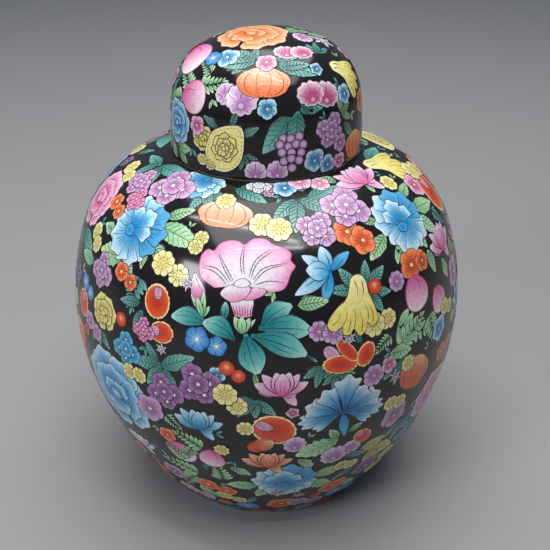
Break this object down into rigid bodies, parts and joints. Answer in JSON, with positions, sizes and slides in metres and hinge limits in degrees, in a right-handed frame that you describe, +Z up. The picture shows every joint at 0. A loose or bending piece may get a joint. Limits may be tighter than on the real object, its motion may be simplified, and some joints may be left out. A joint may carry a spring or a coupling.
{
  "type": "ginger jar",
  "caption": "Porcelain ginger jar: a broad-shouldered body tapering to a recessed foot, with a tall domed lid that slips over a short neck, black glazed with raised enamel flowers.",
  "frame": {"origin": "centre of the foot ring, on the plane the jar stands on", "axes": "+Z up the jar's axis, which is also its longest dimension; every upright section is the same"},
  "size_m": [0.2539, 0.254, 0.3066],
  "materials": {
    "black_glaze": "gloss",
    "enamel": "satin"
  },
  "bodies": {
    "jar": {"jar_body": "black_glaze"},
    "jar_lid": {"lid": "black_glaze"}
  },
  "joints": [
    {"name": "lid_lift", "type": "slide", "parent": "jar", "child": "jar_lid", "axis": [0, 0, 1], "range_m": [0, 0.15]}
  ]
}
